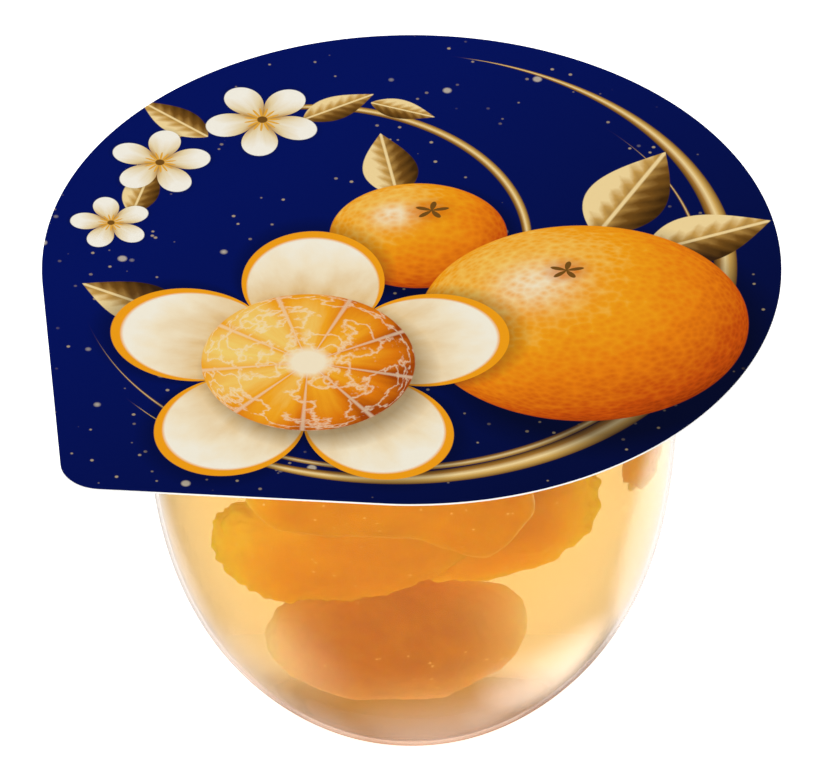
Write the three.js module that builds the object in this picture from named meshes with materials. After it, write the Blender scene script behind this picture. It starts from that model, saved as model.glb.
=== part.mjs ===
// A sealed cup of moulded fruit jelly: a clear round-bottomed cup with a flat flange, the set
// jelly inside it, and a flat peel-off lid with one pulling corner.
// Millimetres, +Z up, with the origin at the centre of the flat base.

import * as THREE from 'three';

// Whole part
const HEIGHT = 74; // from the base to the lid's printed face
const GAP = 0.3; // clearance between neighbouring solids
const SEGMENTS = 60; // facets round the axis

// Lid: a disc whose edge runs out to a corner along two straight lines that touch its circle
const LID_RADIUS = 54;
const LID_THICKNESS = 0.3;
const TAB_HEADING = THREE.MathUtils.degToRad(225); // towards -X -Y
const TAB_SPREAD = THREE.MathUtils.degToRad(40.5); // from the heading to where each line starts
const TAB_CORNER_RADIUS = 6;
const LID_EDGE_STEPS = 96;
const TAB_CORNER_STEPS = 12;

// Cup: one sheet of even thickness from the base to the edge of the flange
const WALL = 0.8;
const FLANGE_RADIUS = 52.4; // the lid's edge stands 1.6 mm past it
const FLARE_RADIUS = 7; // the bend from the wall out to the flange
const FLARE_STEPS = 5;
const WALL_STEPS = 12;
const FOOT_HEIGHT = 1.6; // where the wall starts to round into the flat base
const FOOT_STEPS = 3;

// Outer wall: radius = BODY_RADIUS * (1 - (depth / FULL_DEPTH) ^ DEPTH_POWER) ^ (1 / RADIUS_POWER)
const BODY_RADIUS = 39.3;
const FULL_DEPTH = 85.2; // where the curve would close, past the flat base
const DEPTH_POWER = 4.26;
const RADIUS_POWER = 1.33;

// Jelly
const HEADSPACE = 2.5; // from the jelly's surface to the lid's underside

const LID_UNDERSIDE = HEIGHT - LID_THICKNESS;
const FLANGE_UNDERSIDE = LID_UNDERSIDE - GAP - WALL;
const JELLY_LEVEL = LID_UNDERSIDE - HEADSPACE;

// Points on an arc from one angle to another, both ends included
function arcPoints(centre, radius, from, to, steps) {
  return Array.from({ length: steps + 1 }, (_, i) => {
    const angle = THREE.MathUtils.lerp(from, to, i / steps);
    return new THREE.Vector2(Math.cos(angle), Math.sin(angle)).multiplyScalar(radius).add(centre);
  });
}

// Radius of the cup's outer wall at a height above the base
function wallRadius(height) {
  const share = (HEIGHT - height) / FULL_DEPTH;
  return BODY_RADIUS * (1 - share ** DEPTH_POWER) ** (1 / RADIUS_POWER);
}

// Arc that leaves the flat base level and meets the wall, in line with it, at FOOT_HEIGHT
function footArc() {
  const step = 0.01;
  const spread = wallRadius(FOOT_HEIGHT + step) - wallRadius(FOOT_HEIGHT);
  const slope = Math.atan2(step, spread);
  const radius = FOOT_HEIGHT / (1 - Math.cos(slope));
  const centre = new THREE.Vector2(wallRadius(FOOT_HEIGHT) - radius * Math.sin(slope), radius);
  return arcPoints(centre, radius, -Math.PI / 2, slope - Math.PI / 2, FOOT_STEPS);
}

// Outside of the cup from the centre of its base to the edge of its flange, as (radius, height)
function outerProfile() {
  const flareStart = FLANGE_UNDERSIDE - FLARE_RADIUS;
  const wall = Array.from({ length: WALL_STEPS - 1 }, (_, i) => {
    const share = ((i + 1) / WALL_STEPS) ** 2;
    const height = THREE.MathUtils.lerp(FOOT_HEIGHT, flareStart, share);
    return new THREE.Vector2(wallRadius(height), height);
  });
  const flareCentre = new THREE.Vector2(wallRadius(flareStart) + FLARE_RADIUS, flareStart);
  const flare = arcPoints(flareCentre, FLARE_RADIUS, Math.PI, Math.PI / 2, FLARE_STEPS);
  const axis = new THREE.Vector2(0, 0);
  const flangeEdge = new THREE.Vector2(FLANGE_RADIUS, FLANGE_UNDERSIDE);
  return [axis, ...footArc(), ...wall, ...flare, flangeEdge];
}

// The same profile moved towards the inside of the cup, each side of it by the same distance
function inset(points, distance) {
  const normals = points.slice(1).map((point, i) => {
    const along = point.clone().sub(points[i]).normalize();
    return new THREE.Vector2(-along.y, along.x);
  });
  return points.map((point, i) => {
    const before = normals[Math.max(i - 1, 0)];
    const after = normals[Math.min(i, normals.length - 1)];
    const mitre = before.clone().add(after).normalize();
    return point.clone().addScaledVector(mitre, distance / mitre.dot(before));
  });
}

// The part of a rising profile that lies under a level, closed by a point on the level
function upTo(points, level) {
  const above = points.findIndex((point) => point.y > level);
  const below = points[above - 1];
  const share = (level - below.y) / (points[above].y - below.y);
  return [...points.slice(0, above), below.clone().lerp(points[above], share)];
}

// Solid of revolution about Z of a profile that starts and ends on the axis
function turned(profile) {
  return new THREE.LatheGeometry(profile, SEGMENTS).rotateX(Math.PI / 2);
}

function clearPlastic() {
  return new THREE.MeshStandardMaterial({ color: 0xf3ede0, roughness: 0.08, metalness: 0 });
}

function amberJelly() {
  return new THREE.MeshStandardMaterial({ color: 0xf0b860, roughness: 0.12, metalness: 0 });
}

function printedFilm() {
  return new THREE.MeshStandardMaterial({ color: 0x10245c, roughness: 0.3, metalness: 0.1 });
}

function namedMesh(name, geometry, material) {
  const mesh = new THREE.Mesh(geometry, material);
  mesh.name = name;
  return mesh;
}

function makeCup() {
  const outside = outerProfile();
  const inside = inset(outside, WALL).reverse();
  return namedMesh('cup', turned([...outside, ...inside]), clearPlastic());
}

function makeJelly() {
  const side = upTo(inset(outerProfile(), WALL + GAP), JELLY_LEVEL);
  const surfaceCentre = new THREE.Vector2(0, JELLY_LEVEL);
  return namedMesh('jelly', turned([...side, surfaceCentre]), amberJelly());
}

function makeLid() {
  const cornerReach = (LID_RADIUS - TAB_CORNER_RADIUS) / Math.cos(TAB_SPREAD);
  const corner = new THREE.Vector2(Math.cos(TAB_HEADING), Math.sin(TAB_HEADING));
  corner.multiplyScalar(cornerReach);
  const tabStart = TAB_HEADING - TAB_SPREAD;
  const tabEnd = TAB_HEADING + TAB_SPREAD;
  const edge = arcPoints(new THREE.Vector2(), LID_RADIUS, tabEnd, tabStart + 2 * Math.PI, LID_EDGE_STEPS);
  const tip = arcPoints(corner, TAB_CORNER_RADIUS, tabStart, tabEnd, TAB_CORNER_STEPS);
  const outline = new THREE.Shape([...edge, ...tip]);
  const geometry = new THREE.ExtrudeGeometry(outline, { depth: LID_THICKNESS, bevelEnabled: false });
  const lid = namedMesh('lid', geometry, printedFilm());
  lid.position.z = LID_UNDERSIDE;
  return lid;
}

const sealedCup = new THREE.Group();
sealedCup.add(makeCup(), makeJelly(), makeLid());

export default sealedCup;
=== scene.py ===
"""Dresses a sealed cup of moulded fruit jelly.

The clear cup, the jelly in it, the mandarin segments sunk in the jelly, the printed lid and a
plain studio stage. Lengths are in metres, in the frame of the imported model.
"""

import math
from typing import NamedTuple

import bmesh
import bpy
from mathutils import Matrix, Vector, noise


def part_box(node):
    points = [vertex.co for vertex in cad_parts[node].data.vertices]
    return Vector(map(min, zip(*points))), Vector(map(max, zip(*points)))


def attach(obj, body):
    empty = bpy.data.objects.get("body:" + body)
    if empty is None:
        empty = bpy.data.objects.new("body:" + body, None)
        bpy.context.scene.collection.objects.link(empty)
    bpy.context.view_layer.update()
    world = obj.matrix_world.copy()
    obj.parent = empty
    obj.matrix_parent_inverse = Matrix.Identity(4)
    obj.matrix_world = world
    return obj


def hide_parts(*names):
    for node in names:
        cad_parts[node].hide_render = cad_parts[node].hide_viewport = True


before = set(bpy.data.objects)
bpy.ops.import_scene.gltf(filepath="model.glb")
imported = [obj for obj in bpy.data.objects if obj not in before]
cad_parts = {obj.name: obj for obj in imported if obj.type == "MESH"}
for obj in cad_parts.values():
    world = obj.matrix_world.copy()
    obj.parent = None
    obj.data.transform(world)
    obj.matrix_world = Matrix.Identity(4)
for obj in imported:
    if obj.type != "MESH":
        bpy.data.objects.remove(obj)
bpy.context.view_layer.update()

bl_info = {
    "name": "Fruit jelly cup",
    "version": (1, 0, 0),
    "blender": (4, 5, 0),
    "location": "View3D > Sidebar > Jelly cup",
    "description": "Builds a sealed cup of fruit jelly and the studio it stands in",
    "category": "Object",
}

MM = 0.001

CUP_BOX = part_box("cup")
LID_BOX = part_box("lid")
JELLY_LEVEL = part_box("jelly")[1].z
FLANGE_TOP = CUP_BOX[1].z
LID_TOP = LID_BOX[1].z
LID_UNDERSIDE = LID_BOX[0].z

JELLY_IOR = 1.34
NOISE_SEED = 1  # without a seed of its own, noise_vector takes one from the clock

# How finely the curves are cut
TURN_STEPS = 192
WALL_STEPS = 60
FOOT_STEPS = 10
FLARE_STEPS = 16
RIM_STEPS = 8
MENISCUS_STEPS = 6
LID_EDGE_STEPS = 220
TAB_CORNER_STEPS = 24
DISC_STEPS = 96
SEGMENT_SUBDIVISIONS = 6


def rgb(red, green, blue):
    """Linear colour of an ordinary 0 to 255 one."""

    def linear(level):
        share = level / 255
        return share / 12.92 if share <= 0.04045 else ((share + 0.055) / 1.055) ** 2.4

    return (linear(red), linear(green), linear(blue))


def size_property(name, description, default):
    return bpy.props.FloatProperty(
        name=name, description=description, default=default, min=0.0, unit="LENGTH", precision=5
    )


def colour_property(name, description, default):
    return bpy.props.FloatVectorProperty(
        name=name, description=description, default=default, size=3, subtype="COLOR", min=0.0, max=1.0
    )


# ---------------------------------------------------------------- settings


class CupSettings(bpy.types.PropertyGroup):
    wall: size_property("Wall", "Thickness of the cup's sheet", 0.8 * MM)
    body_radius: size_property("Body radius", "Outer radius at the top of the body", 39.3 * MM)
    full_depth: size_property("Full depth", "Where the wall's curve would close", 85.2 * MM)
    depth_power: bpy.props.FloatProperty(
        name="Depth power", description="How late the wall turns inwards", default=4.26
    )
    radius_power: bpy.props.FloatProperty(
        name="Radius power", description="How round the bottom is", default=1.33
    )
    flare_radius: size_property("Flare", "Bend from the wall out to the flange", 7 * MM)
    foot_height: size_property("Foot", "Where the wall starts to round into the base", 1.6 * MM)
    plastic: colour_property("Plastic", "Tint of the clear plastic", (0.985, 0.975, 0.96))
    # Painted edge highlight: the plastic seen along its wall takes this colour
    rim: colour_property("Plastic edge-on", "Colour of the plastic seen along its wall", (0.6, 0.52, 0.48))
    # Painted glow: at the foot the edge colour turns warm, as if the jelly's light showed in the plastic
    painted_foot_glow: colour_property("Foot edge-on", "The same at the foot, warmed by the jelly", (1.0, 0.52, 0.28))
    painted_glow_height: size_property("Tinted foot", "Up to where the foot takes that colour", 18 * MM)


class JellySettings(bpy.types.PropertyGroup):
    into_wall: size_property("Into the wall", "How far the jelly reaches into the cup's wall", 0.15 * MM)
    meniscus: size_property("Meniscus", "How far the jelly climbs the wall", 0.9 * MM)
    matt_height: size_property("Matt foot", "Up to where the jelly's skin is a little matt", 9 * MM)
    clear: colour_property("Clear colour", "Colour that the jelly lets through", (0.975, 0.76, 0.12))
    depth_of_colour: bpy.props.FloatProperty(
        name="Depth of colour", description="How fast the colour deepens, per metre", default=28.0
    )
    cloud: colour_property("Cloud", "Colour of the jelly's faint cloudiness", (1.0, 0.9, 0.35))
    cloudiness: bpy.props.FloatProperty(
        name="Cloudiness", description="How fast the jelly clouds what lies in it, per metre", default=12.0
    )


class FruitSettings(bpy.types.PropertyGroup):
    sac: size_property("Juice sac", "Width of one juice sac", 1.9 * MM)
    relief: size_property("Relief", "Depth of the grooves between the juice sacs", 0.16 * MM)
    ragged: size_property("Ragged edge", "How far single juice sacs stand out of the edge", 0.7 * MM)
    # Partly painted shade: only the segment lying low under the others deepens towards this colour
    deep: colour_property("Deep flesh", "Colour at the heart of the ripest segment", rgb(186, 92, 2))
    thick: colour_property("Thick flesh", "Colour where a segment is thick", rgb(230, 151, 6))
    # Painted light: thin parts of the flesh take this paler colour, as if lit through
    thin: colour_property("Thin flesh", "Colour at the ends and edges", rgb(255, 194, 40))
    speck: colour_property("Specks", "Colour of the small pale specks", rgb(255, 226, 130))
    # Painted light: pale colour of flesh shown lit through, at the ends, the underside and the outline
    painted_glow_flesh: colour_property("Bleached flesh", "Colour where the flesh is washed out", rgb(255, 236, 190))


class LidSettings(bpy.types.PropertyGroup):
    tab_heading: bpy.props.FloatProperty(
        name="Tab heading",
        description="Direction of the pulling corner",
        default=math.radians(225),
        subtype="ANGLE",
    )
    tab_spread: bpy.props.FloatProperty(
        name="Tab spread",
        description="From the heading to where each straight edge leaves the circle",
        default=math.radians(40.5),
        subtype="ANGLE",
    )
    tab_corner_radius: size_property("Tab corner", "Rounding of the pulling corner", 6 * MM)
    navy: colour_property("Field", "Ground colour of the print", rgb(0, 17, 98))
    dusk: colour_property("Field's dark side", "Ground colour at the lower right", rgb(0, 10, 62))
    peel: colour_property("Peel", "Lit peel of the printed fruit", rgb(250, 164, 22))
    peel_shade: colour_property("Peel in shade", "Shaded peel of the printed fruit", rgb(206, 82, 8))
    flesh: colour_property("Flesh", "Printed segments", rgb(252, 172, 34))
    pith: colour_property("Pith", "Inner side of the printed peel", rgb(254, 238, 204))
    gold: colour_property("Gold", "Light tone of the printed gold", rgb(250, 222, 160))
    bronze: colour_property("Bronze", "Dark tone of the printed gold", rgb(120, 80, 26))


class StageSettings(bpy.types.PropertyGroup):
    floor: colour_property("Floor", "Colour of the floor", (0.88, 0.88, 0.88))
    glow: bpy.props.FloatProperty(
        name="Floor glow", description="Strength of the light table's own light", default=0.84
    )
    world: bpy.props.FloatProperty(
        name="Surround", description="Strength of the white surround", default=0.4
    )


# ---------------------------------------------------------------- shader maths


class Value:
    """A shader socket that plain operators work on, each adding the node that it needs."""

    def __init__(self, shader, socket):
        self.shader = shader
        self.socket = socket

    def _math(self, operation, *values, clamp=False):
        settings = {"operation": operation, "use_clamp": clamp}
        return self.shader.add("ShaderNodeMath", settings, dict(enumerate(values)))

    def __add__(self, other):
        return self._math("ADD", self, other)

    def __sub__(self, other):
        return self._math("SUBTRACT", self, other)

    def __rsub__(self, other):
        return self._math("SUBTRACT", other, self)

    def __mul__(self, other):
        return self._math("MULTIPLY", self, other)

    def __truediv__(self, other):
        return self._math("DIVIDE", self, other)

    def __pow__(self, other):
        return self._math("POWER", self, other)

    def __neg__(self):
        return self._math("MULTIPLY", self, -1.0)

    def __abs__(self):
        return self._math("ABSOLUTE", self)

    __radd__ = __add__
    __rmul__ = __mul__

    def most(self, other):
        return self._math("MAXIMUM", self, other)

    def clamped(self):
        return self._math("ADD", self, 0.0, clamp=True)

    def root(self):
        return self._math("SQRT", self)

    def sine(self):
        return self._math("SINE", self)

    def cosine(self):
        return self._math("COSINE", self)

    def fraction(self):
        return self._math("FRACT", self)

    def inside(self, soft):
        """1 where the value is over 0, blurred over a width."""
        return self._math("MULTIPLY_ADD", self, 1 / soft, 0.5, clamp=True)


class Shader:
    """One material's nodes."""

    def __init__(self, name):
        self.material = bpy.data.materials.new(name)
        self.material.use_nodes = True
        self.tree = self.material.node_tree
        self.tree.nodes.clear()

    def add(self, kind, settings=None, inputs=None, output=0):
        """Adds a node: its settings first, then the values or links of its sockets."""
        node = self.tree.nodes.new(kind)
        for name, value in (settings or {}).items():
            if name == "stops":
                self._set_stops(node.color_ramp, value)
            else:
                setattr(node, name, value)
        for key, value in (inputs or {}).items():
            socket = node.inputs[key]
            if isinstance(value, Value):
                self.tree.links.new(value.socket, socket)
            else:
                socket.default_value = self._fitted(socket, value)
        return Value(self, node.outputs[output])

    @staticmethod
    def _fitted(socket, value):
        if socket.type == "RGBA" and len(value) == 3:
            return (*value, 1.0)
        return value

    @staticmethod
    def _set_stops(ramp, stops):
        while len(ramp.elements) < len(stops):
            ramp.elements.new(1.0)
        for element, (position, colour) in zip(ramp.elements, stops):
            element.position = position
            element.color = (*colour, 1.0)

    def mix(self, share, first, second):
        """Colour between two."""
        inputs = {0: share, 6: first, 7: second}
        return self.add("ShaderNodeMix", {"data_type": "RGBA"}, inputs, output=2)

    def place(self):
        """Object coordinates."""
        return self.add("ShaderNodeTexCoord", output="Object")

    def plane(self):
        """Object coordinates along X and Y, in millimetres."""
        inputs = {0: self.place(), 1: (1 / MM, 1 / MM, 0.0)}
        return self.add("ShaderNodeVectorMath", {"operation": "MULTIPLY"}, inputs)

    def near(self, vector, centre, size=(1.0, 1.0), turn=0.0):
        """Coordinates about a point of a plane, turned by degrees, and 1 at a distance of size."""
        inputs = {0: vector, 1: (*centre, 0.0), 2: (0.0, 0.0, math.radians(turn)), 3: (*size, 1.0)}
        return self.add("ShaderNodeMapping", {"vector_type": "TEXTURE"}, inputs)

    def split(self, vector):
        """The three numbers of a vector."""
        node = self.add("ShaderNodeSeparateXYZ", inputs={0: vector}).socket.node
        return [Value(self, socket) for socket in node.outputs]

    def join(self, x, y, z=0.0):
        return self.add("ShaderNodeCombineXYZ", inputs={0: x, 1: y, 2: z})

    def length(self, vector):
        return self.add("ShaderNodeVectorMath", {"operation": "LENGTH"}, {0: vector}, output="Value")

    def dot(self, first, second):
        settings = {"operation": "DOT_PRODUCT"}
        return self.add("ShaderNodeVectorMath", settings, {0: first, 1: second}, output="Value")

    def angle(self, vector):
        """Angle of a vector about Z."""
        x, y, _ = self.split(vector)
        return self.add("ShaderNodeMath", {"operation": "ARCTAN2"}, {0: y, 1: x})

    def ramp(self, share, *stops):
        """Colour from a row of stops, each a position and a colour."""
        return self.add("ShaderNodeValToRGB", {"stops": stops}, {0: share})

    def noise(self, vector, scale, detail):
        inputs = {"Vector": vector, "Scale": scale, "Detail": detail}
        return self.add("ShaderNodeTexNoise", inputs=inputs, output="Fac")

    def cells(self, vector, scale):
        """Distance from the centre of the nearest of many scattered cells."""
        inputs = {"Vector": vector, "Scale": scale}
        return self.add("ShaderNodeTexVoronoi", inputs=inputs, output="Distance")

    def dots(self, vector, scale, size):
        """Scattered round dots, 1 inside them."""
        return (size - self.cells(vector, scale)).inside(size * 0.5)

    def bump(self, height, distance, strength):
        inputs = {"Height": height, "Distance": distance, "Strength": strength}
        return self.add("ShaderNodeBump", inputs=inputs)

    def principled(self, **inputs):
        sockets = {name.replace("_", " "): value for name, value in inputs.items()}
        return self.add("ShaderNodeBsdfPrincipled", inputs=sockets)

    def mix_surfaces(self, share, first, second):
        return self.add("ShaderNodeMixShader", inputs={0: share, 1: first, 2: second})

    def passing_lamps(self, surface):
        """The surface, except that lamps shine straight through it."""
        shadow = self.add("ShaderNodeLightPath", output="Is Shadow Ray")
        return self.mix_surfaces(shadow, surface, self.add("ShaderNodeBsdfTransparent"))

    def finish(self, surface, volume=None):
        output = self.tree.nodes.new("ShaderNodeOutputMaterial")
        self.tree.links.new(surface.socket, output.inputs["Surface"])
        if volume:
            self.tree.links.new(volume.socket, output.inputs["Volume"])
        return self.material


# ---------------------------------------------------------------- shapes


def arc(centre, radius, start, end, steps):
    """Points on an arc, both ends included."""
    angles = [start + (end - start) * i / steps for i in range(steps + 1)]
    return [centre + radius * Vector((math.cos(a), math.sin(a))) for a in angles]


def wall_radius(height, cup):
    """Radius of the cup's outer wall at a height above the base."""
    share = (LID_TOP - height) / cup.full_depth
    return cup.body_radius * (1 - share**cup.depth_power) ** (1 / cup.radius_power)


def foot_arc(cup):
    """Arc that leaves the flat base level and runs into the wall at the foot's height."""
    step = 0.01 * MM
    spread = wall_radius(cup.foot_height + step, cup) - wall_radius(cup.foot_height, cup)
    slope = math.atan2(step, spread)
    radius = cup.foot_height / (1 - math.cos(slope))
    centre = Vector((wall_radius(cup.foot_height, cup) - radius * math.sin(slope), radius))
    return arc(centre, radius, -math.pi / 2, slope - math.pi / 2, FOOT_STEPS)


def outer_profile(cup):
    """Outside of the cup from the centre of its base to the edge of its flange."""
    underside = FLANGE_TOP - cup.wall
    flare_start = underside - cup.flare_radius
    shares = [((i + 1) / WALL_STEPS) ** 2 for i in range(WALL_STEPS - 1)]
    heights = [cup.foot_height + share * (flare_start - cup.foot_height) for share in shares]
    wall = [Vector((wall_radius(height, cup), height)) for height in heights]
    flare_centre = Vector((wall_radius(flare_start, cup) + cup.flare_radius, flare_start))
    flare = arc(flare_centre, cup.flare_radius, math.pi, math.pi / 2, FLARE_STEPS)
    edge = Vector((CUP_BOX[1].x - cup.wall / 2, underside))
    return [Vector((0, 0)), *foot_arc(cup), *wall, *flare, edge]


def inset(points, distance):
    """The profile moved towards the inside, each side of it by the same distance."""
    sides = [(b - a).normalized() for a, b in zip(points, points[1:])]
    normals = [Vector((-side.y, side.x)) for side in sides]
    moved = []
    for i, point in enumerate(points):
        before = normals[max(i - 1, 0)]
        after = normals[min(i, len(normals) - 1)]
        mitre = (before + after).normalized()
        moved.append(point + mitre * (distance / mitre.dot(before)))
    return moved


def up_to(points, level):
    """The part of a rising profile under a level, closed by a point on it."""
    above = next(i for i, point in enumerate(points) if point.y > level)
    share = (level - points[above - 1].y) / (points[above].y - points[above - 1].y)
    return points[:above] + [points[above - 1].lerp(points[above], share)]


def turned(name, profile):
    """Closed mesh of a profile of (radius, height) points turned about Z."""
    bm = bmesh.new()
    chain = [bm.verts.new((point.x, 0, point.y)) for point in profile]
    edges = [bm.edges.new(pair) for pair in zip(chain, chain[1:])]
    bmesh.ops.spin(
        bm,
        geom=chain + edges,
        cent=(0, 0, 0),
        axis=(0, 0, 1),
        angle=math.tau,
        steps=TURN_STEPS,
        use_merge=True,
    )
    bmesh.ops.remove_doubles(bm, verts=bm.verts, dist=1e-3 * MM)
    bmesh.ops.recalc_face_normals(bm, faces=bm.faces)
    return as_object(name, bm)


def disc(name, radius, height):
    """Flat round sheet at a height."""
    bm = bmesh.new()
    bmesh.ops.create_circle(bm, cap_ends=True, radius=radius, segments=DISC_STEPS)
    bmesh.ops.translate(bm, verts=bm.verts, vec=(0, 0, height))
    return as_object(name, bm, smooth=False)


def as_object(name, bm, smooth=True):
    """Object of a finished mesh, with its place in the mesh."""
    mesh = bpy.data.meshes.new(name)
    bm.to_mesh(mesh)
    bm.free()
    for polygon in mesh.polygons:
        polygon.use_smooth = smooth
    piece = bpy.data.objects.new(name, mesh)
    bpy.context.scene.collection.objects.link(piece)
    return piece


def fix(piece, material, slot, *nodes):
    """Gives a piece its material, its body and the nodes that it stands for."""
    piece.data.materials.append(material)
    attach(piece, "root")
    if nodes:
        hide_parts(*nodes)


# ---------------------------------------------------------------- cup


def clear_plastic(cup):
    """Thin clear plastic: see-through, glossier and then coloured where it is seen along its wall; that
    colour is a painted edge highlight, warmed at the foot into a painted glow of the jelly's light.
    """
    shader = Shader("clear plastic")
    x, y, z = shader.split(shader.place())
    flow = shader.noise(shader.join(x, y, z * 0.15), 120.0, 3.0)
    gloss = shader.principled(
        Base_Color=cup.plastic,
        Metallic=1.0,
        Roughness=0.06 + 0.05 * flow,
        Normal=shader.bump(flow, 0.02 * MM, 0.25),
    )
    clear = shader.add("ShaderNodeBsdfTransparent", inputs={"Color": (0.995, 0.99, 0.985, 1.0)})
    # How far the painted warm glow of the jelly's light reaches up from the foot
    foot = (1 - z / cup.painted_glow_height).clamped()
    rim = shader.principled(Base_Color=shader.mix(foot, cup.rim, cup.painted_foot_glow), Roughness=0.3)
    grazing = shader.add("ShaderNodeLayerWeight", inputs={"Blend": 0.5}, output="Facing")
    glossy = shader.mix_surfaces(0.01 + 0.7 * grazing**4, clear, gloss)
    # Share of the painted edge highlight, larger near the foot
    edge_on = (0.8 * grazing**9).most(0.85 * foot * grazing**2.5)
    return shader.finish(shader.mix_surfaces(edge_on, glossy, rim))


class JELLYCUP_OT_cup(bpy.types.Operator):
    """Build the clear cup"""

    bl_idname = "jellycup.cup"
    bl_label = "Cup"

    def execute(self, context):
        cup = context.scene.jelly_cup
        outside = outer_profile(cup)
        inside = inset(outside, cup.wall)[::-1]
        rim_centre = (outside[-1] + inside[0]) / 2
        rim = arc(rim_centre, cup.wall / 2, -math.pi / 2, math.pi / 2, RIM_STEPS)[1:-1]
        piece = turned("clear_cup", outside + rim + inside)
        fix(piece, clear_plastic(cup), "cup_plastic", "cup")
        return {"FINISHED"}


# ---------------------------------------------------------------- jelly


def amber_jelly(jelly):
    """Clear amber jelly with a faint cloudiness."""
    shader = Shader("amber jelly")
    place = shader.place()
    height = shader.split(place)[2]
    foot = (1 - height / jelly.matt_height).clamped()
    surface = shader.principled(
        Base_Color=(1.0, 1.0, 1.0),
        Roughness=0.02 + 0.02 * shader.noise(place, 60.0, 3.0) + 0.45 * foot,
        IOR=JELLY_IOR,
        Transmission_Weight=1.0,
    )
    absorbed = {"Color": jelly.clear, "Density": jelly.depth_of_colour}
    clear = shader.add("ShaderNodeVolumeAbsorption", inputs=absorbed)
    scattered = {"Color": jelly.cloud, "Density": jelly.cloudiness, "Anisotropy": 0.5}
    cloud = shader.add("ShaderNodeVolumeScatter", inputs=scattered)
    volume = shader.add("ShaderNodeAddShader", inputs={0: clear, 1: cloud})
    return shader.finish(shader.passing_lamps(surface), volume)


class JELLYCUP_OT_jelly(bpy.types.Operator):
    """Build the jelly that fills the cup"""

    bl_idname = "jellycup.jelly"
    bl_label = "Jelly"

    def execute(self, context):
        cup = context.scene.jelly_cup
        jelly = context.scene.jelly_filling
        side = up_to(inset(outer_profile(cup), cup.wall - jelly.into_wall), JELLY_LEVEL)
        climb_centre = side[-1] + Vector((-2 * jelly.meniscus, 0))
        climb = arc(
            climb_centre, jelly.meniscus, math.radians(-30), math.radians(-90), MENISCUS_STEPS
        )
        level = JELLY_LEVEL - jelly.meniscus / 2
        surface = [Vector((point.x, level + (point.y - climb[-1].y))) for point in climb]
        centre = Vector((0, level))
        piece = turned("jelly_body", [*side, *surface, centre])
        fix(piece, amber_jelly(jelly), "jelly", "jelly")
        return {"FINISHED"}


# ---------------------------------------------------------------- fruit


class Segment(NamedTuple):
    """One citrus segment, in millimetres and degrees."""

    name: str
    centre: tuple
    size: tuple  # length, height and thickness
    turns: tuple
    seed: int
    bend: float = 0.0  # how far the ends turn up
    edge: float = 0.3  # thickness of the lower edge as a share
    bulges: tuple = ()  # of the lower edge, each as place, depth and width
    bluntness: float = 0.8  # under 1, the ends are blunter than a ball's
    rim: float = 1.0  # how narrow the pale rim of painted light is
    pale_end: float = 0.0  # how pale the right end is or, if negative, the left one
    crown: float = 0.0  # how much paler the top is than the underside
    ripeness: float = 0.0  # 1 is deep in colour and smooth
    painted_glow_flesh: float = 0.0  # painted light: how far the ends and the underside are paled, as if lit through
    outline: float = 0.0  # painted light: how pale the outermost edge glows; over 0, that edge is smooth


SEGMENTS = (
    Segment(
        name="segment_left",
        centre=(-9.5, -20, 42.4),
        size=(37, 21.2, 11),
        turns=(6, -14, 4),
        seed=3,
        bend=1.5,
        pale_end=-1.1,
        crown=0.5,
    ),
    Segment(
        name="segment_right",
        centre=(8.5, -16, 44.9),
        size=(32, 20.2, 11),
        turns=(-4, -9, -6),
        seed=11,
        bend=1.5,
        pale_end=0.9,
    ),
    Segment(
        name="segment_front",
        centre=(-3.5, -27.5, 55.8),
        size=(40, 15, 8),
        turns=(4, 0, 0),
        seed=19,
        edge=0.35,
        bulges=((14, 5.8, 6), (-12, 0.8, 5)),
        bluntness=0.6,
        rim=4.0,
        pale_end=-0.8,
        ripeness=0.1,
        # painted light: a pale glowing outline
        outline=0.7,
    ),
    Segment(
        name="segment_lower",
        centre=(-1.7, -10, 21.1),
        size=(29.5, 22.2, 14),
        turns=(8, -10, 3),
        seed=27,
        edge=0.8,
        bluntness=0.98,
        # its deeper colour is partly painted shade from the segments above it
        ripeness=0.8,
        painted_glow_flesh=0.85,
    ),
    Segment(
        name="segment_side",
        centre=(30.7, -9, 51.1),
        size=(20, 10, 7),
        turns=(0, 108, -8),
        seed=35,
        edge=0.6,
        bluntness=0.95,
        # painted light: paled all over, for a segment in the lid's shadow
        ripeness=-1.1,
        painted_glow_flesh=1.0,
    ),
)


def segment_form(segment, unit):
    """Moves a point of a unit ball to its place on a smooth citrus segment, in millimetres."""
    length, height, thickness = segment.size
    wedge = segment.edge + (1 - segment.edge) * ((unit.z + 1) / 2) ** 0.8
    across, up = (math.copysign(abs(share) ** segment.bluntness, share) for share in (unit.x, unit.z))
    across *= length / 2
    low = (1 - unit.z) / 2
    drop = sum(
        depth * math.exp(-(((across - place) / width) ** 2)) for place, depth, width in segment.bulges
    )
    return Vector((
        across,
        unit.y * wedge * thickness / 2,
        up * height / 2 + segment.bend * unit.x**2 - drop * low**2,
    ))


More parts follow.
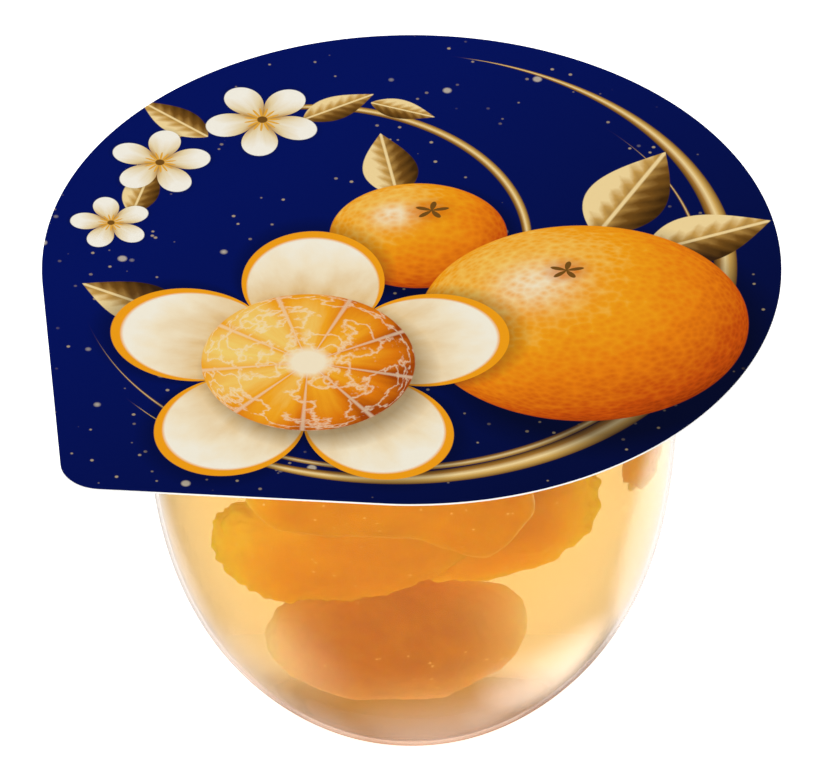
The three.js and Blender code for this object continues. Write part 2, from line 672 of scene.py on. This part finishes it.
def add_segment(fruit, segment):
    """One citrus segment without its skin: a wedge of long juice sacs with a ragged edge."""
    bm = bmesh.new()
    bmesh.ops.create_icosphere(bm, subdivisions=SEGMENT_SUBDIVISIONS, radius=1.0)
    paleness = bm.verts.layers.float.new("paleness")
    bleach = bm.verts.layers.float.new("bleach")
    shift = Vector((1, 2, 3)) * segment.seed
    sac = fruit.sac / MM
    smoothness = 1.0 if segment.outline else max(0.0, segment.ripeness)
    ragged = fruit.ragged / MM * (1 - smoothness)
    scallop_width = 1.1 * sac
    swell_height = 0.8
    swell_width = 6
    for vert in bm.verts:
        unit = vert.co.copy()
        # Paler where thin: painted light shining through the thin flesh
        thin = 1 - abs(unit.y) ** 0.7
        pale = max(0.0, segment.pale_end * unit.x) ** 1.7 + segment.crown * unit.z
        vert[paleness] = thin**segment.rim + pale - segment.ripeness
        # Painted light: the ends, the underside and the outermost edge are paled as if lit through
        glow_at_ends_and_underside = abs(unit.x) ** 4 + 0.7 * max(0.0, -unit.z) ** 2
        vert[bleach] = segment.painted_glow_flesh * glow_at_ends_and_underside + segment.outline * thin**6
        form = segment_form(segment, unit)
        swell = swell_height * noise.noise(form / swell_width + shift)
        scallops = 2.4 * abs(noise.noise(form / scallop_width - shift))
        scallops += 0.4 * noise.noise(form * 2 / sac + shift)
        vert.co = form + unit * (swell + ragged * (1 - unit.y**2) ** 3 * (scallops - 0.5))
    bm.normal_update()
    carve_sacs(bm, fruit, shift)
    spin = [Matrix.Rotation(math.radians(turn), 4, axis) for turn, axis in zip(segment.turns, "XYZ")]
    middle = Matrix.Translation(Vector(segment.centre) * MM)
    place = middle @ spin[2] @ spin[1] @ spin[0] @ Matrix.Scale(MM, 4)
    bmesh.ops.transform(bm, matrix=place, verts=bm.verts)
    return as_object(segment.name, bm)


def carve_sacs(bm, fruit, shift):
    """Sinks grooves between long upright juice sacs into a segment that is still in millimetres."""
    sac = fruit.sac / MM
    sac_length = 3.6 * sac
    groove_width = 0.5
    moves = []
    for vert in bm.verts:
        place = Vector((vert.co.x / sac, vert.co.y / sac, vert.co.z / sac_length))
        place += 0.35 * noise.noise_vector(vert.co / 3 + shift)
        near, next_near = noise.voronoi(place + shift)[0][:2]
        groove = 1 - min(1.0, (next_near - near) / groove_width)
        moves.append(-fruit.relief / MM * groove)
    for vert, move in zip(bm.verts, moves):
        vert.co += vert.normal * move


def citrus_flesh(fruit):
    """Juicy citrus flesh, paler where a segment is thin, which is painted light shining through it, with
    small pale specks and a painted glow at its ends, underside and edge.
    """
    shader = Shader("citrus flesh")
    pale = shader.add("ShaderNodeAttribute", {"attribute_name": "paleness"}, output="Fac")
    place = shader.place()
    patches = shader.noise(place, 180.0, 3.0)
    pale = pale * 1.1 + patches * 0.9 - 0.6
    colour = shader.mix(pale.clamped(), fruit.thick, fruit.thin)
    colour = shader.mix((-pale).clamped(), colour, fruit.deep)
    fibres = shader.noise(place, 900.0, 2.0)
    colour = shader.mix((fibres * 0.25).clamped(), colour, fruit.thin)
    speck_spacing = 1.9 * MM
    specks = shader.dots(place, 1 / speck_spacing, 0.11) * (patches - 0.48).inside(0.06)
    colour = shader.mix(specks * 0.6, colour, fruit.speck)
    # Painted light shining through the ends, the underside and the edge
    bleach = shader.add("ShaderNodeAttribute", {"attribute_name": "bleach"}, output="Fac")
    colour = shader.mix(bleach.clamped(), colour, fruit.painted_glow_flesh)
    surface = shader.principled(
        Base_Color=colour,
        Roughness=0.4 + 0.2 * patches,
        IOR=1.36,
        Subsurface_Weight=0.7,
        Subsurface_Radius=(1.0, 0.5, 0.12),
        Subsurface_Scale=6 * MM,
        Specular_IOR_Level=0.02,
        Normal=shader.bump(fibres, 0.05 * MM, 0.4),
    )
    return shader.finish(surface)


class JELLYCUP_OT_fruit(bpy.types.Operator):
    """Build the mandarin segments sunk in the jelly"""

    bl_idname = "jellycup.fruit"
    bl_label = "Fruit"

    def execute(self, context):
        fruit = context.scene.jelly_fruit
        flesh = citrus_flesh(fruit)
        noise.seed_set(NOISE_SEED)
        for segment in SEGMENTS:
            fix(add_segment(fruit, segment), flesh, "jelly")
        return {"FINISHED"}


# ---------------------------------------------------------------- lid


def lid_outline(lid):
    """Edge of the lid: a circle that runs out to a rounded corner along two straight lines."""
    radius = LID_BOX[1].x
    reach = (radius - lid.tab_corner_radius) / math.cos(lid.tab_spread)
    heading = Vector((math.cos(lid.tab_heading), math.sin(lid.tab_heading)))
    start = lid.tab_heading - lid.tab_spread
    end = lid.tab_heading + lid.tab_spread
    edge = arc(Vector((0, 0)), radius, end, start + math.tau, LID_EDGE_STEPS)
    corner = arc(heading * reach, lid.tab_corner_radius, start, end, TAB_CORNER_STEPS)
    return edge + corner


class Artwork:
    """The lid's print, in millimetres from the lid's centre, laid down colour by colour."""

    light = (-0.45, 0.55, 0.7)  # where the printed fruit is lit from
    glint = (-0.3, 0.4, 0.86)  # where its gloss faces
    edge = 0.15  # softness of a printed edge
    shadow = rgb(0, 4, 24)

    def __init__(self, shader, lid):
        self.shader = shader
        self.lid = lid
        self.plane = shader.plane()
        x, y, _ = shader.split(self.plane)
        self.colour = shader.mix(((x - y) * 0.009 + 0.4).clamped(), lid.navy, lid.dusk)

    def near(self, centre, size=(1.0, 1.0), turn=0.0):
        return self.shader.near(self.plane, centre, size, turn)

    def lay(self, mask, colour):
        self.colour = self.shader.mix(mask, self.colour, colour)

    def inside(self, inward, size):
        """1 where a share of the size, counted inwards from an outline, is over 0."""
        return (inward * size).inside(self.edge)

    def shade(self, centre, size, strength=0.65):
        """Soft shadow round and under a thing that lies on the print."""
        drop = self.near((centre[0] + 0.1 * size, centre[1] - 0.16 * size), (size, size))
        self.lay(((1.15 - self.shader.length(drop)) * 4.0).clamped() * strength, self.shadow)

    def ball(self, near):
        """Direction of a ball's surface where it fills the place, and how far from its outline."""
        u, v, _ = self.shader.split(near)
        inward = 1 - self.shader.length(near)
        height = (inward * (2 - inward)).most(0.0).root()
        return self.shader.join(u, v, height), inward

    def whole_fruit(self, centre, radius, stalk):
        """A whole mandarin with fine pores and the star of its stalk."""
        shader, lid = self.shader, self.lid
        self.shade(centre, radius)
        ball, inward = self.ball(self.near(centre, (radius, 0.93 * radius)))
        pores = shader.cells(ball, radius / 1.3)
        dapple = shader.noise(ball, 0.12 * radius, 3.0)
        shade = shader.dot(ball, self.light) * 0.55 + 0.2 * dapple + 0.2 * pores + 0.18
        colour = shader.ramp(
            shade,
            (0.0, rgb(150, 48, 2)),
            (0.25, lid.peel_shade),
            (0.55, rgb(242, 132, 14)),
            (0.78, lid.peel),
            (1.0, rgb(255, 206, 96)),
        )
        gloss = shader.dot(ball, self.glint).most(0.0) ** 40.0 * (0.4 + pores)
        colour = shader.mix(gloss.clamped(), colour, lid.pith)
        star_centre = [middle + share * radius for middle, share in zip(centre, stalk)]
        star = self.near(star_centre, (2.6, 2.0), 12.0)
        points = 0.55 + 0.45 * (shader.angle(star) * 5.0).cosine()
        dip = (1.6 - shader.length(star)).clamped() * 0.5
        colour = shader.mix(dip, colour, lid.peel_shade)
        colour = shader.mix(self.inside(points - shader.length(star), 2.0), colour, lid.bronze)
        self.lay(self.inside(inward, radius), colour)

    def peeled_fruit(self, centre, radius, spread, turn):
        """A mandarin on its opened peel, seen from above: five petals of peel, nine segments."""
        shader, lid = self.shader, self.lid
        near = self.near(centre, (spread, spread), turn)
        angle = shader.angle(near)
        reach = shader.length(near)
        inward = 0.5 + 0.5 * abs((angle * 2.5).cosine()) ** 0.7 - reach
        self.lay(((inward + 0.12) * 6.0).clamped() * 0.6, self.shadow)
        fibres = shader.noise(shader.join(angle * 7.0, reach * 5.0), 1.0, 3.0)
        pith = shader.ramp(
            reach * 1.1 + fibres * 0.35 - 0.15,
            (0.35, rgb(196, 132, 62)),
            (0.6, rgb(240, 206, 150)),
            (0.85, lid.pith),
            (1.0, rgb(255, 248, 228)),
        )
        peel = shader.mix((0.055 - inward).inside(0.02), pith, lid.peel)
        self.lay(self.inside(inward, spread), peel)
        self.shade(centre, radius, 0.5)
        ball, inward = self.ball(self.near(centre, (radius, radius), turn + 11.0))
        around = shader.angle(ball)
        wedge = abs((around * 4.5).sine())
        sacs = shader.noise(shader.join(around * 9.0, (1 - inward) * 2.5), 1.0, 3.0)
        shade = shader.dot(ball, self.light) * 0.6 + wedge**0.6 * 0.35 + sacs * 0.3 - 0.15
        flesh = shader.ramp(
            shade,
            (0.0, rgb(168, 70, 4)),
            (0.3, rgb(232, 126, 12)),
            (0.6, lid.flesh),
            (1.0, rgb(255, 222, 122)),
        )
        threads = 1 - abs(shader.noise(ball, 3.2, 4.0) - 0.5) * 26.0
        seam = (0.1 - wedge).inside(0.1) * 0.5
        flesh = shader.mix((threads * 0.6).clamped().most(seam), flesh, lid.pith)
        flesh = shader.mix((0.2 - (1 - inward)).inside(0.1), flesh, lid.pith)
        self.lay(self.inside(inward, radius), flesh)

    def leaf(self, base, length, turn, half_width):
        """A pointed gold leaf with a midrib and side veins."""
        shader, lid = self.shader, self.lid
        u, v, _ = shader.split(self.near(base, (length, length), turn))
        along = u.clamped()
        inward = half_width * (along**0.8 * math.pi).sine() - abs(v)
        veins = abs((u * 7.0 - abs(v) * 6.0).fraction() - 0.5) * 2.0
        shade = v * 2.4 + 0.5 + veins * 0.16 + shader.noise(self.plane, 0.5, 2.0) * 0.2
        gold = shader.ramp(
            shade,
            (0.1, rgb(66, 40, 8)),
            (0.45, lid.bronze),
            (0.8, rgb(206, 160, 82)),
            (1.0, lid.gold),
        )
        gold = shader.mix((0.014 - abs(v)).inside(0.012), gold, lid.gold)
        self.lay(self.inside(inward, length) * (u * (1 - u)).inside(0.01), gold)

    def blossom(self, centre, radius, turn):
        """A cream blossom of five petals round its stamens."""
        shader, lid = self.shader, self.lid
        near = self.near(centre, (radius, radius), turn)
        angle = shader.angle(near)
        reach = shader.length(near)
        petal = abs((angle * 2.5).cosine())
        inward = 0.3 + 0.7 * petal**0.6 - reach
        self.lay(((inward + 0.12) * 5.0).clamped() * 0.4, self.shadow)
        folds = shader.noise(shader.join(angle * 5.0, reach * 1.5), 1.0, 2.0)
        shade = reach * 0.7 + petal * 0.4 + folds * 0.3 - 0.25
        cream = shader.ramp(
            shade,
            (0.1, rgb(196, 146, 72)),
            (0.45, rgb(240, 218, 170)),
            (0.8, rgb(255, 250, 236)),
        )
        self.lay(self.inside(inward, radius), cream)
        rays = 0.2 + 0.12 * (angle * 15.0).cosine()
        self.lay(self.inside(rays - reach, radius), rgb(236, 172, 58))
        self.lay(self.inside(0.09 - reach, radius), lid.bronze)

    def crescent(self, outer, inner, bright):
        """A tapering gold band between two circles, each given as centre and radius."""
        shader, lid = self.shader, self.lid
        far, close = (radius - shader.length(self.near(centre)) for centre, radius in (outer, inner))
        across = far / (far - close).most(0.2)
        gold = shader.ramp(
            across,
            (0.0, lid.bronze),
            (0.3, rgb(216, 172, 90)),
            (0.5, lid.gold),
            (0.75, rgb(172, 122, 52)),
            (1.0, rgb(88, 58, 18)),
        )
        self.lay(far.inside(self.edge) * (-close).inside(self.edge) * bright, gold)

    def sprinkle(self, spacing, size, where, strength, colour):
        """Small scattered dots within a part of the print."""
        self.lay(self.shader.dots(self.plane, 1 / spacing, size) * where * strength, colour)


# Printed leaves: base, length and turn in millimetres and degrees, half the width as a share of the length
LEAVES = (
    ((27, 7), 22, 62, 0.27),
    ((34, 3), 20, 22, 0.27),
    ((-2, 16), 15, 100, 0.27),
    ((-33, -12), 17, 152, 0.27),
    ((-41, 12), 12, 75, 0.22),
    ((-30, 30), 13, 140, 0.22),
    ((-16, 34), 12, 30, 0.22),
    ((-6, 38), 10, -20, 0.22),
)

# Printed blossoms: centre, radius and turn in millimetres and degrees
BLOSSOMS = (
    ((-37, 24), 7.5, 10),
    ((-22, 34), 8.5, 50),
    ((-44, 10), 6, 30),
)


def draw_print(shader, lid):
    """Mandarins, one of them peeled, with leaves and blossoms in gold and cream on deep blue."""
    art = Artwork(shader, lid)
    y = shader.split(art.plane)[1]
    drift = shader.noise(art.plane, 0.06, 2.0)
    art.sprinkle(2.6, 0.1, (drift - 0.5).inside(0.1), 0.45, lid.gold)
    art.sprinkle(7.0, 0.09, 1.0, 0.5, lid.pith)
    art.crescent(((-2, 0), 49.5), ((-4.5, 1.5), 48.6), 1.0)
    art.crescent(((-3, -1), 45.6), ((-3.6, 0), 45.4), 0.8)
    art.crescent(((-14, 6), 31.6), ((-14.9, 5.2), 31.2), (y - 2.0).inside(6.0))
    for leaf in LEAVES:
        art.leaf(*leaf)
    for blossom in BLOSSOMS:
        art.blossom(*blossom)
    art.whole_fruit((1, 7), 13, (0.15, 0.45))
    art.whole_fruit((25, -13), 24, (-0.1, 0.5))
    art.peeled_fruit((-15, -22), 15.5, 30, 16)
    return art.colour


def printed_film(lid):
    """Film with the print on its upper side."""
    shader = Shader("printed film")
    place = shader.place()
    waves = shader.noise(place, 35.0, 2.0)
    surface = shader.principled(
        Base_Color=draw_print(shader, lid),
        Roughness=0.3 + 0.08 * shader.noise(place, 150.0, 2.0),
        Specular_IOR_Level=0.02,
        Normal=shader.bump(waves, 0.3 * MM, 0.3),
    )
    return shader.finish(surface)


def white_film():
    """Bare white side and edge of the film."""
    shader = Shader("white film")
    grain = shader.noise(shader.place(), 500.0, 3.0)
    surface = shader.principled(
        Base_Color=shader.mix(grain, (0.9, 0.9, 0.89), (0.84, 0.84, 0.83)), Roughness=0.4
    )
    return shader.finish(surface)


class JELLYCUP_OT_lid(bpy.types.Operator):
    """Build the printed peel-off lid"""

    bl_idname = "jellycup.lid"
    bl_label = "Lid"

    def execute(self, context):
        lid = context.scene.jelly_lid
        bm = bmesh.new()
        rim = [bm.verts.new((point.x, point.y, LID_UNDERSIDE)) for point in lid_outline(lid)]
        bottom = bm.faces.new(rim)
        top = bmesh.ops.extrude_face_region(bm, geom=[bottom])["geom"]
        lifted = [item for item in top if isinstance(item, bmesh.types.BMVert)]
        bmesh.ops.translate(bm, verts=lifted, vec=(0, 0, LID_TOP - LID_UNDERSIDE))
        bmesh.ops.recalc_face_normals(bm, faces=bm.faces)
        for face in bm.faces:
            face.material_index = 0 if face.normal.z > 0.5 else 1
        piece = as_object("film_lid", bm, smooth=False)
        fix(piece, printed_film(lid), "lid_film", "lid")
        piece.data.materials.append(white_film())
        return {"FINISHED"}


# ---------------------------------------------------------------- stage


class JELLYCUP_OT_stage(bpy.types.Operator):
    """Set the floor, the lamps and the camera"""

    bl_idname = "jellycup.stage"
    bl_label = "Stage"

    camera_elevation = math.radians(39.716)
    camera_distance = 2683 * MM
    camera_lens = 800.0
    camera_target = Vector((-0.02, 0, 52.64)) * MM

    # Lamps: name, place, size in metres and power in watts
    lamps = (
        ("top_lamp", (-0.2, 0.1, 1.3), 1.0, 5.0),
        ("front_lamp", (-0.5, -0.95, 0.4), 0.6, 3.0),
        ("right_lamp", (0.9, -0.75, 0.4), 0.5, 1.0),
        ("back_left_lamp", (-0.9, 0.95, 0.5), 0.7, 2.0),
        ("back_right_lamp", (0.9, 0.95, 0.5), 0.7, 4.6),
    )
    lamp_target = Vector((0, 0, 0.04))
    lamp_colour = (1.0, 0.99, 0.98)

    floor_radius = 3.0
    floor_level = -0.05 * MM
    shade_end = 22 * MM  # painted shade: the light table's glow is dimmed and warmed under the cup's base, as if shaded by the cup and lit through the jelly
    shade_fade = 4 * MM
    shade_colour = (0.9, 0.5, 0.26)

    card_radius = 0.5
    card_level = 1 * MM
    card_darkness = 0.95
    card_brightness = 3.0
    card_colour = (1.0, 0.94, 0.87)
    # Windows of the card: centre, radius and softness in millimetres, and how clear they are
    card_windows = (
        ((-22, 24), 37, 8.0, 0.55),
        ((52, 23), 32, 10.0, 0.85),
    )
    # Painted highlights, glowing patches of the card, in millimetres and degrees: centre, size, turn,
    # share of the brightness
    card_patches = (
        ((30, -25), (22, 12), 50, 0.8),
        ((6, -31), (18, 10), 0, 0.25),
        ((18, -28), (10, 9), 0, 0.2),
        ((-16, -22), (10, 8), 0, 0.1),
        ((-32, -17), (14, 12), 0, 0.2),
        ((-29, -38), (17, 14), 0, 0.2),
    )

    def execute(self, context):
        stage = context.scene.jelly_stage
        self.add_floor(stage)
        self.add_surround(context.scene, stage)
        self.add_card()
        for lamp in self.lamps:
            self.add_lamp(*lamp)
        self.add_camera(context.scene)
        context.scene.view_settings.view_transform = "Standard"
        self.set_paths(context.scene.cycles)
        return {"FINISHED"}

    def set_paths(self, cycles):
        """Lets light cross the clear cup and turn round inside the jelly often enough to get out."""
        cycles.use_denoising = True
        cycles.max_bounces = 16
        cycles.glossy_bounces = 6
        cycles.transmission_bounces = 16
        cycles.transparent_max_bounces = 48
        cycles.volume_bounces = 4

    def add_floor(self, stage):
        """A light table, plain and pale, with a painted warm shade under the cup."""
        floor = disc("floor", self.floor_radius, self.floor_level)
        shader = Shader("floor")
        place = shader.place()
        speckle = shader.noise(place, 400.0, 2.0)
        # Painted warm shade under the cup's base
        painted_shade_share = ((self.shade_end - shader.length(place)) / self.shade_fade).clamped()
        surface = shader.principled(
            Base_Color=shader.mix(speckle * 0.04, stage.floor, (0.8, 0.8, 0.8)),
            Roughness=0.7,
            Emission_Color=shader.mix(painted_shade_share, (1.0, 1.0, 1.0), self.shade_colour),
            Emission_Strength=stage.glow,
        )
        floor.data.materials.append(shader.finish(surface))

    def add_card(self):
        """A dark card with windows and glowing patches, seen only in the cup's gloss: painted dark
        reflections and painted highlights.
        """
        card = disc("mirrored_card", self.card_radius, self.card_level)
        for rays in ("camera", "diffuse", "transmission", "volume_scatter", "shadow"):
            setattr(card, "visible_" + rays, False)
        shader = Shader("mirrored card")
        plane = shader.plane()
        dark = 1.0
        for centre, radius, soft, clearness in self.card_windows:
            window = (radius - shader.length(shader.near(plane, centre))).inside(soft)
            dark = (1 - clearness * window) * dark
        bright = 0.0
        for centre, size, turn, strength in self.card_patches:
            reach = shader.length(shader.near(plane, centre, size, turn))
            bright = (1 - reach**2.0).clamped() * strength + bright
        clear = shader.add("ShaderNodeBsdfTransparent")
        surface = shader.principled(
            Base_Color=(0.01, 0.01, 0.01),
            Roughness=0.9,
            Specular_IOR_Level=0.0,
            Emission_Color=shader.mix(bright, (0.0, 0.0, 0.0), self.card_colour),
            Emission_Strength=self.card_brightness,
        )
        # Painted reflection: dark card where there is no window, glowing patches on top
        share = (dark * self.card_darkness).most(bright)
        card.data.materials.append(shader.finish(shader.mix_surfaces(share, clear, surface)))

    def add_surround(self, scene, stage):
        """Even white light from all round."""
        world = bpy.data.worlds.new("surround")
        world.use_nodes = True
        background = world.node_tree.nodes["Background"]
        background.inputs["Color"].default_value = (1.0, 1.0, 1.0, 1.0)
        background.inputs["Strength"].default_value = stage.world
        scene.world = world

    def add_lamp(self, name, place, size, power):
        """A round soft lamp that looks at the cup."""
        lamp = bpy.data.lights.new(name, "AREA")
        lamp.shape = "DISK"
        lamp.size = size
        lamp.energy = power
        lamp.color = self.lamp_colour
        holder = bpy.data.objects.new(name, lamp)
        holder.location = place
        aim = self.lamp_target - holder.location
        holder.rotation_euler = aim.to_track_quat("-Z", "Y").to_euler()
        bpy.context.scene.collection.objects.link(holder)

    def add_camera(self, scene):
        """A long lens from in front and above."""
        lens = bpy.data.cameras.new("camera")
        lens.lens = self.camera_lens
        lens.clip_end = 20.0
        holder = bpy.data.objects.new("camera", lens)
        back = Vector((0, -math.cos(self.camera_elevation), math.sin(self.camera_elevation)))
        holder.location = self.camera_target + back * self.camera_distance
        holder.rotation_euler = (-back).to_track_quat("-Z", "Y").to_euler()
        scene.collection.objects.link(holder)
        scene.camera = holder


# ---------------------------------------------------------------- panel and registration


class JELLYCUP_PT_panel(bpy.types.Panel):
    """Lists the pieces"""

    bl_idname = "JELLYCUP_PT_panel"
    bl_label = "Jelly cup"
    bl_space_type = "VIEW_3D"
    bl_region_type = "UI"
    bl_category = "Jelly cup"

    def draw(self, context):
        for settings, operator in PIECES:
            box = self.layout.box()
            values = getattr(context.scene, settings)
            for name in values.bl_rna.properties.keys():
                if name not in {"rna_type", "name"}:
                    box.prop(values, name)
            box.operator(operator)


SETTINGS = {
    "jelly_cup": CupSettings,
    "jelly_filling": JellySettings,
    "jelly_fruit": FruitSettings,
    "jelly_lid": LidSettings,
    "jelly_stage": StageSettings,
}
OPERATORS = (JELLYCUP_OT_cup, JELLYCUP_OT_jelly, JELLYCUP_OT_fruit, JELLYCUP_OT_lid, JELLYCUP_OT_stage)
PIECES = tuple((name, operator.bl_idname) for name, operator in zip(SETTINGS, OPERATORS))
CLASSES = (*SETTINGS.values(), *OPERATORS, JELLYCUP_PT_panel)


def register():
    for cls in CLASSES:
        bpy.utils.register_class(cls)
    for name, cls in SETTINGS.items():
        setattr(bpy.types.Scene, name, bpy.props.PointerProperty(type=cls))


def unregister():
    for name in SETTINGS:
        delattr(bpy.types.Scene, name)
    for cls in reversed(CLASSES):
        bpy.utils.unregister_class(cls)


def main():
    register()
    bpy.ops.jellycup.stage()
    bpy.ops.jellycup.cup()
    bpy.ops.jellycup.jelly()
    bpy.ops.jellycup.fruit()
    bpy.ops.jellycup.lid()


if __name__ == "__main__":
    main()
